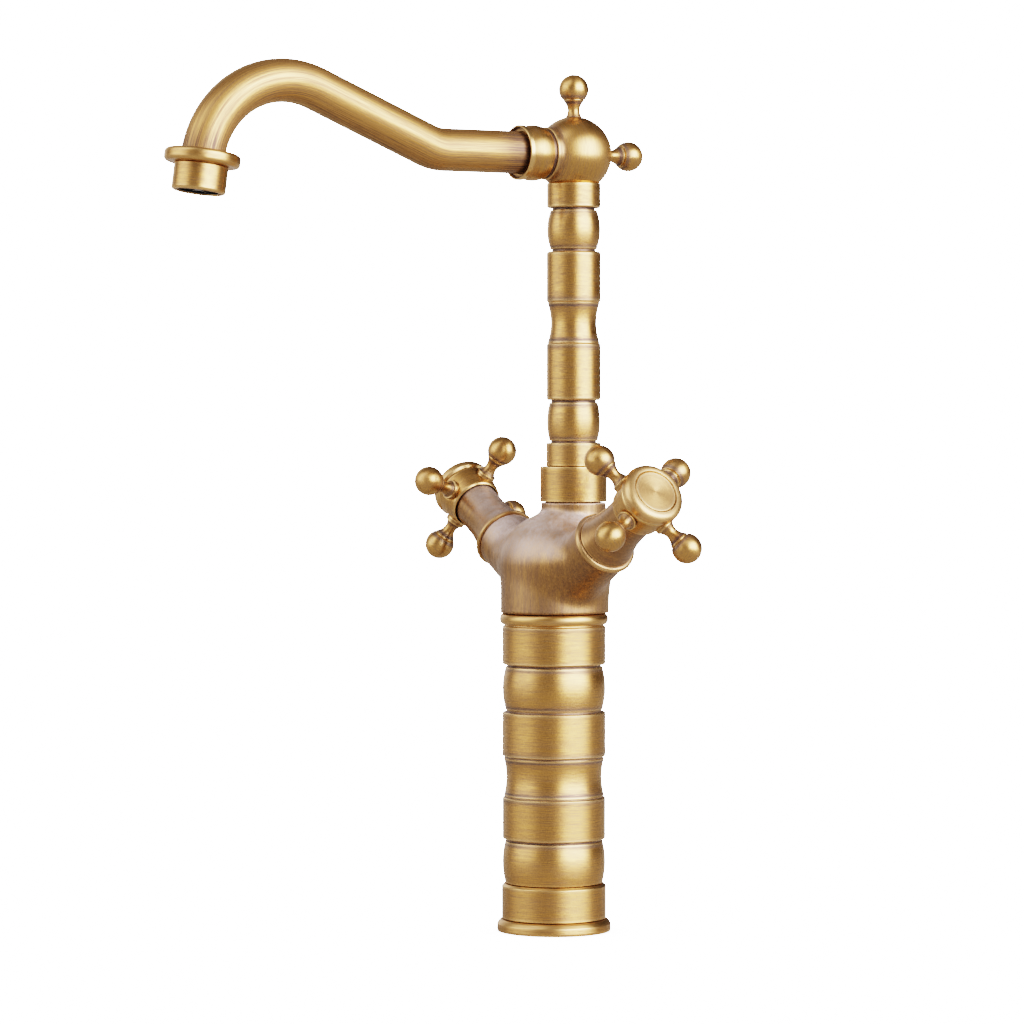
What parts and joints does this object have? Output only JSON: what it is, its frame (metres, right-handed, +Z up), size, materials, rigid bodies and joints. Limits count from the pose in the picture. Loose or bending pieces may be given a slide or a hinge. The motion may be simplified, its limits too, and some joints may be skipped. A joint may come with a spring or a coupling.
{
  "type": "basin mixer faucet",
  "caption": "Tall two-handle basin mixer with a turned riser, swivel column, swan-neck spout, ball head and ball-ended cross handles in antique brushed brass.",
  "frame": {"origin": "mouth of the central stud hole, level with the underside of the deck gasket, on the riser axis", "axes": "+Z up along the riser, -Y towards the spout's rest direction, +X towards the cold handle"},
  "size_m": [0.1997, 0.2608, 0.421],
  "materials": {
    "turned_brass": "brushed around the axis, antique patina in the grooves",
    "cast_brass": "brushed along the casting, greyer antique patina",
    "tube_brass": "brushed along the tube, antique patina",
    "cap_brass": "turned face with fine circular brushing",
    "raw_brass": "plain machined",
    "copper": "plain drawn copper tube",
    "ceramic": "polished ceramic",
    "plastic": "white slip plastic",
    "dark_plastic": "dark moulded plastic",
    "steel": "fine perforated sheet",
    "rubber": "matte black rubber"
  },
  "bodies": {
    "base": {"deck_gasket": "rubber", "deck_flange": "turned_brass", "base_insert": "raw_brass", "base_collar": "turned_brass", "riser_tube": "turned_brass", "rim_bead": "turned_brass", "mixer_body": "cast_brass", "supply_tube_hot": "copper", "supply_tube_cold": "copper", "supply_tube_seals": "rubber", "thrust_washer": "plastic", "retaining_collar": "turned_brass", "hot_seat_seal": "rubber", "hot_fixed_disc": "ceramic", "hot_cartridge": "raw_brass", "hot_neck_ring": "turned_brass", "hot_bonnet": "cast_brass", "cold_seat_seal": "rubber", "cold_fixed_disc": "ceramic", "cold_cartridge": "raw_brass", "cold_neck_ring": "turned_brass", "cold_bonnet": "cast_brass"},
    "spout": {"column_tube": "turned_brass", "spigot_seals": "rubber", "head_ball": "turned_brass", "top_finial": "turned_brass", "back_finial": "turned_brass", "union_nut": "turned_brass", "union_ring": "turned_brass", "union_seal": "rubber", "spout_tube": "tube_brass", "nozzle_ring": "turned_brass", "nozzle_housing": "turned_brass", "aerator_washer": "rubber", "aerator_screen": "steel", "aerator_insert": "dark_plastic"},
    "hot_handle": {"hot_moving_disc": "ceramic", "hot_spindle": "raw_brass", "hot_spindle_seals": "rubber", "hot_hub": "turned_brass", "hot_handle_screw": "raw_brass", "hot_cap_ring": "cap_brass", "hot_index_disc": "cap_brass", "hot_knob_1": "turned_brass", "hot_knob_2": "turned_brass", "hot_knob_3": "turned_brass", "hot_knob_4": "turned_brass"},
    "cold_handle": {"cold_moving_disc": "ceramic", "cold_spindle": "raw_brass", "cold_spindle_seals": "rubber", "cold_hub": "turned_brass", "cold_handle_screw": "raw_brass", "cold_cap_ring": "cap_brass", "cold_index_disc": "cap_brass", "cold_knob_1": "turned_brass", "cold_knob_2": "turned_brass", "cold_knob_3": "turned_brass", "cold_knob_4": "turned_brass"}
  },
  "joints": [
    {"name": "spout_swivel", "type": "hinge", "parent": "base", "child": "spout", "pos_m": [0, 0.0113, 0.23], "axis": [0, 0, 1], "continuous": true},
    {"name": "hot_valve", "type": "hinge", "parent": "base", "child": "hot_handle", "pos_m": [0, 0, 0.1652], "axis": [-0.866, 0, 0.5], "range_deg": [0, 90]},
    {"name": "cold_valve", "type": "hinge", "parent": "base", "child": "cold_handle", "pos_m": [0, 0, 0.1652], "axis": [0.866, 0, 0.5], "range_deg": [-90, 0]}
  ]
}
